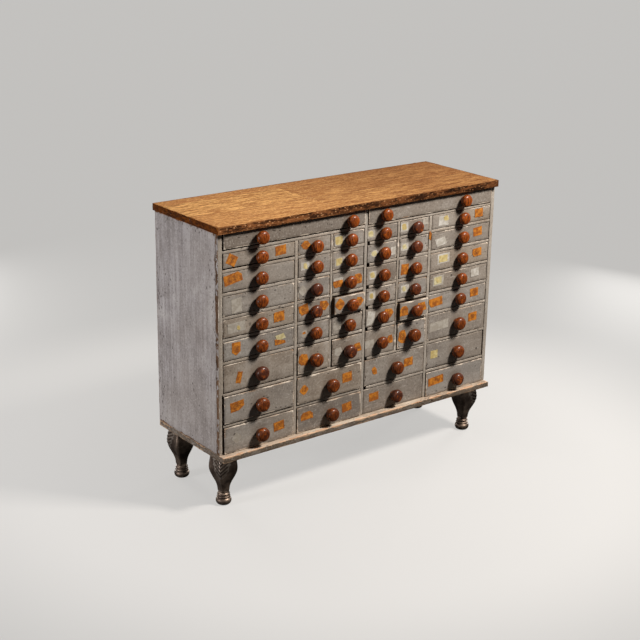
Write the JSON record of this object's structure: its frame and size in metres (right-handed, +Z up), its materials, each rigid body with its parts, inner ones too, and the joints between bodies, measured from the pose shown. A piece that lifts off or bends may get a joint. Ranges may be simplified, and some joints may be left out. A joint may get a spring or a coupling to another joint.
{
  "type": "hardware drawer cabinet",
  "caption": "Low cabinet on four short cast legs, its front filled with rows of small and medium wooden drawers with turned knobs, under an overhanging board top.",
  "frame": {"origin": "on the floor, at the middle of the whole cabinet's box in plan", "axes": "+Z up, +X to the right along the length, -Y towards the drawer fronts"},
  "size_m": [1.1596, 0.402, 0.94],
  "materials": {
    "top_oak": "waxed golden oak boards, worn and scratched",
    "side_paint": "old blue-grey paint, streaked and chipped",
    "rail_paint": "old cream-grey paint, worn at the edges",
    "drawer_paint": "old warm grey paint, worn and smudged",
    "base_paint": "old paint worn to bare pale wood along the edge",
    "back_wood": "unfinished aged boards",
    "box_wood": "unfinished aged drawer boards",
    "knob_wood": "glossy red-brown varnish",
    "label_paper": "faded paper labels, orange, cream and white",
    "leg_iron": "dark bronzed cast iron, rubbed bright on the rings",
    "bolt_steel": "plain steel"
  },
  "bodies": {
    "carcass": {"top_boards": "top_oak", "side_left": "side_paint", "side_right": "side_paint", "back_boards": "back_wood", "base_board": "base_paint", "uprights": "rail_paint", "front_strips": "rail_paint", "shelves_left": "rail_paint", "shelves_right": "rail_paint", "leg_front_left": "leg_iron", "leg_front_right": "leg_iron", "leg_back_left": "leg_iron", "leg_back_right": "leg_iron", "leg_bolts": "bolt_steel"},
    "drawer_top_left": {"drawer_top_left": "drawer_paint"},
    "drawer_top_right": {"drawer_top_right": "drawer_paint"},
    "drawer_a1": {"drawer_a1": "drawer_paint"},
    "drawer_a2": {"drawer_a2": "drawer_paint"},
    "drawer_a3": {"drawer_a3": "drawer_paint"},
    "drawer_a4": {"drawer_a4": "drawer_paint"},
    "drawer_a5": {"drawer_a5": "drawer_paint"},
    "drawer_a6": {"drawer_a6": "drawer_paint"},
    "drawer_a7": {"drawer_a7": "drawer_paint"},
    "drawer_a8": {"drawer_a8": "drawer_paint"},
    "drawer_b1": {"drawer_b1": "drawer_paint"},
    "drawer_b2": {"drawer_b2": "drawer_paint"},
    "drawer_b3": {"drawer_b3": "drawer_paint"},
    "drawer_b4": {"drawer_b4": "drawer_paint"},
    "drawer_b5": {"drawer_b5": "drawer_paint"},
    "drawer_b6": {"drawer_b6": "drawer_paint"},
    "drawer_c1": {"drawer_c1": "drawer_paint"},
    "drawer_c2": {"drawer_c2": "drawer_paint"},
    "drawer_c3": {"drawer_c3": "drawer_paint"},
    "drawer_c4": {"drawer_c4": "drawer_paint"},
    "drawer_c5": {"drawer_c5": "drawer_paint"},
    "drawer_c6": {"drawer_c6": "drawer_paint"},
    "drawer_d1": {"drawer_d1": "drawer_paint"},
    "drawer_d2": {"drawer_d2": "drawer_paint"},
    "drawer_d3": {"drawer_d3": "drawer_paint"},
    "drawer_d4": {"drawer_d4": "drawer_paint"},
    "drawer_d5": {"drawer_d5": "drawer_paint"},
    "drawer_d6": {"drawer_d6": "drawer_paint"},
    "drawer_e1": {"drawer_e1": "drawer_paint"},
    "drawer_e2": {"drawer_e2": "drawer_paint"},
    "drawer_e3": {"drawer_e3": "drawer_paint"},
    "drawer_e4": {"drawer_e4": "drawer_paint"},
    "drawer_e5": {"drawer_e5": "drawer_paint"},
    "drawer_e6": {"drawer_e6": "drawer_paint"},
    "drawer_f1": {"drawer_f1": "drawer_paint"},
    "drawer_f2": {"drawer_f2": "drawer_paint"},
    "drawer_f3": {"drawer_f3": "drawer_paint"},
    "drawer_f4": {"drawer_f4": "drawer_paint"},
    "drawer_f5": {"drawer_f5": "drawer_paint"},
    "drawer_f6": {"drawer_f6": "drawer_paint"},
    "drawer_f7": {"drawer_f7": "drawer_paint"},
    "drawer_f8": {"drawer_f8": "drawer_paint"},
    "drawer_bc7": {"drawer_bc7": "drawer_paint"},
    "drawer_bc8": {"drawer_bc8": "drawer_paint"},
    "drawer_de7": {"drawer_de7": "drawer_paint"},
    "drawer_de8": {"drawer_de8": "drawer_paint"}
  },
  "joints": [
    {"name": "drawer_top_left_slide", "type": "slide", "parent": "carcass", "child": "drawer_top_left", "axis": [0, -1, 0], "range_m": [-0.003, 0.237]},
    {"name": "drawer_top_right_slide", "type": "slide", "parent": "carcass", "child": "drawer_top_right", "axis": [0, -1, 0], "range_m": [-0.003, 0.237]},
    {"name": "drawer_a1_slide", "type": "slide", "parent": "carcass", "child": "drawer_a1", "axis": [0, -1, 0], "range_m": [0, 0.24]},
    {"name": "drawer_a2_slide", "type": "slide", "parent": "carcass", "child": "drawer_a2", "axis": [0, -1, 0], "range_m": [0, 0.24]},
    {"name": "drawer_a3_slide", "type": "slide", "parent": "carcass", "child": "drawer_a3", "axis": [0, -1, 0], "range_m": [0, 0.24]},
    {"name": "drawer_a4_slide", "type": "slide", "parent": "carcass", "child": "drawer_a4", "axis": [0, -1, 0], "range_m": [0, 0.24]},
    {"name": "drawer_a5_slide", "type": "slide", "parent": "carcass", "child": "drawer_a5", "axis": [0, -1, 0], "range_m": [0, 0.24]},
    {"name": "drawer_a6_slide", "type": "slide", "parent": "carcass", "child": "drawer_a6", "axis": [0, -1, 0], "range_m": [0, 0.24]},
    {"name": "drawer_a7_slide", "type": "slide", "parent": "carcass", "child": "drawer_a7", "axis": [0, -1, 0], "range_m": [-0.003, 0.237]},
    {"name": "drawer_a8_slide", "type": "slide", "parent": "carcass", "child": "drawer_a8", "axis": [0, -1, 0], "range_m": [-0.003, 0.237]},
    {"name": "drawer_b1_slide", "type": "slide", "parent": "carcass", "child": "drawer_b1", "axis": [0, -1, 0], "range_m": [0, 0.24]},
    {"name": "drawer_b2_slide", "type": "slide", "parent": "carcass", "child": "drawer_b2", "axis": [0, -1, 0], "range_m": [0, 0.24]},
    {"name": "drawer_b3_slide", "type": "slide", "parent": "carcass", "child": "drawer_b3", "axis": [0, -1, 0], "range_m": [0, 0.24]},
    {"name": "drawer_b4_slide", "type": "slide", "parent": "carcass", "child": "drawer_b4", "axis": [0, -1, 0], "range_m": [0, 0.24]},
    {"name": "drawer_b5_slide", "type": "slide", "parent": "carcass", "child": "drawer_b5", "axis": [0, -1, 0], "range_m": [0, 0.24]},
    {"name": "drawer_b6_slide", "type": "slide", "parent": "carcass", "child": "drawer_b6", "axis": [0, -1, 0], "range_m": [-0.003, 0.237]},
    {"name": "drawer_c1_slide", "type": "slide", "parent": "carcass", "child": "drawer_c1", "axis": [0, -1, 0], "range_m": [0, 0.24]},
    {"name": "drawer_c2_slide", "type": "slide", "parent": "carcass", "child": "drawer_c2", "axis": [0, -1, 0], "range_m": [0, 0.24]},
    {"name": "drawer_c3_slide", "type": "slide", "parent": "carcass", "child": "drawer_c3", "axis": [0, -1, 0], "range_m": [0, 0.24]},
    {"name": "drawer_c4_slide", "type": "slide", "parent": "carcass", "child": "drawer_c4", "axis": [0, -1, 0], "range_m": [-0.012, 0.228]},
    {"name": "drawer_c5_slide", "type": "slide", "parent": "carcass", "child": "drawer_c5", "axis": [0, -1, 0], "range_m": [0, 0.24]},
    {"name": "drawer_c6_slide", "type": "slide", "parent": "carcass", "child": "drawer_c6", "axis": [0, -1, 0], "range_m": [-0.003, 0.237]},
    {"name": "drawer_d1_slide", "type": "slide", "parent": "carcass", "child": "drawer_d1", "axis": [0, -1, 0], "range_m": [0, 0.24]},
    {"name": "drawer_d2_slide", "type": "slide", "parent": "carcass", "child": "drawer_d2", "axis": [0, -1, 0], "range_m": [0, 0.24]},
    {"name": "drawer_d3_slide", "type": "slide", "parent": "carcass", "child": "drawer_d3", "axis": [0, -1, 0], "range_m": [0, 0.24]},
    {"name": "drawer_d4_slide", "type": "slide", "parent": "carcass", "child": "drawer_d4", "axis": [0, -1, 0], "range_m": [0, 0.24]},
    {"name": "drawer_d5_slide", "type": "slide", "parent": "carcass", "child": "drawer_d5", "axis": [0, -1, 0], "range_m": [0, 0.24]},
    {"name": "drawer_d6_slide", "type": "slide", "parent": "carcass", "child": "drawer_d6", "axis": [0, -1, 0], "range_m": [0, 0.24]},
    {"name": "drawer_e1_slide", "type": "slide", "parent": "carcass", "child": "drawer_e1", "axis": [0, -1, 0], "range_m": [0, 0.24]},
    {"name": "drawer_e2_slide", "type": "slide", "parent": "carcass", "child": "drawer_e2", "axis": [0, -1, 0], "range_m": [0, 0.24]},
    {"name": "drawer_e3_slide", "type": "slide", "parent": "carcass", "child": "drawer_e3", "axis": [0, -1, 0], "range_m": [0, 0.24]},
    {"name": "drawer_e4_slide", "type": "slide", "parent": "carcass", "child": "drawer_e4", "axis": [0, -1, 0], "range_m": [0, 0.24]},
    {"name": "drawer_e5_slide", "type": "slide", "parent": "carcass", "child": "drawer_e5", "axis": [0, -1, 0], "range_m": [-0.012, 0.228]},
    {"name": "drawer_e6_slide", "type": "slide", "parent": "carcass", "child": "drawer_e6", "axis": [0, -1, 0], "range_m": [-0.003, 0.237]},
    {"name": "drawer_f1_slide", "type": "slide", "parent": "carcass", "child": "drawer_f1", "axis": [0, -1, 0], "range_m": [0, 0.24]},
    {"name": "drawer_f2_slide", "type": "slide", "parent": "carcass", "child": "drawer_f2", "axis": [0, -1, 0], "range_m": [0, 0.24]},
    {"name": "drawer_f3_slide", "type": "slide", "parent": "carcass", "child": "drawer_f3", "axis": [0, -1, 0], "range_m": [0, 0.24]},
    {"name": "drawer_f4_slide", "type": "slide", "parent": "carcass", "child": "drawer_f4", "axis": [0, -1, 0], "range_m": [0, 0.24]},
    {"name": "drawer_f5_slide", "type": "slide", "parent": "carcass", "child": "drawer_f5", "axis": [0, -1, 0], "range_m": [0, 0.24]},
    {"name": "drawer_f6_slide", "type": "slide", "parent": "carcass", "child": "drawer_f6", "axis": [0, -1, 0], "range_m": [0, 0.24]},
    {"name": "drawer_f7_slide", "type": "slide", "parent": "carcass", "child": "drawer_f7", "axis": [0, -1, 0], "range_m": [0, 0.24]},
    {"name": "drawer_f8_slide", "type": "slide", "parent": "carcass", "child": "drawer_f8", "axis": [0, -1, 0], "range_m": [-0.003, 0.237]},
    {"name": "drawer_bc7_slide", "type": "slide", "parent": "carcass", "child": "drawer_bc7", "axis": [0, -1, 0], "range_m": [-0.003, 0.237]},
    {"name": "drawer_bc8_slide", "type": "slide", "parent": "carcass", "child": "drawer_bc8", "axis": [0, -1, 0], "range_m": [-0.003, 0.237]},
    {"name": "drawer_de7_slide", "type": "slide", "parent": "carcass", "child": "drawer_de7", "axis": [0, -1, 0], "range_m": [0, 0.24]},
    {"name": "drawer_de8_slide", "type": "slide", "parent": "carcass", "child": "drawer_de8", "axis": [0, -1, 0], "range_m": [0, 0.24]}
  ]
}
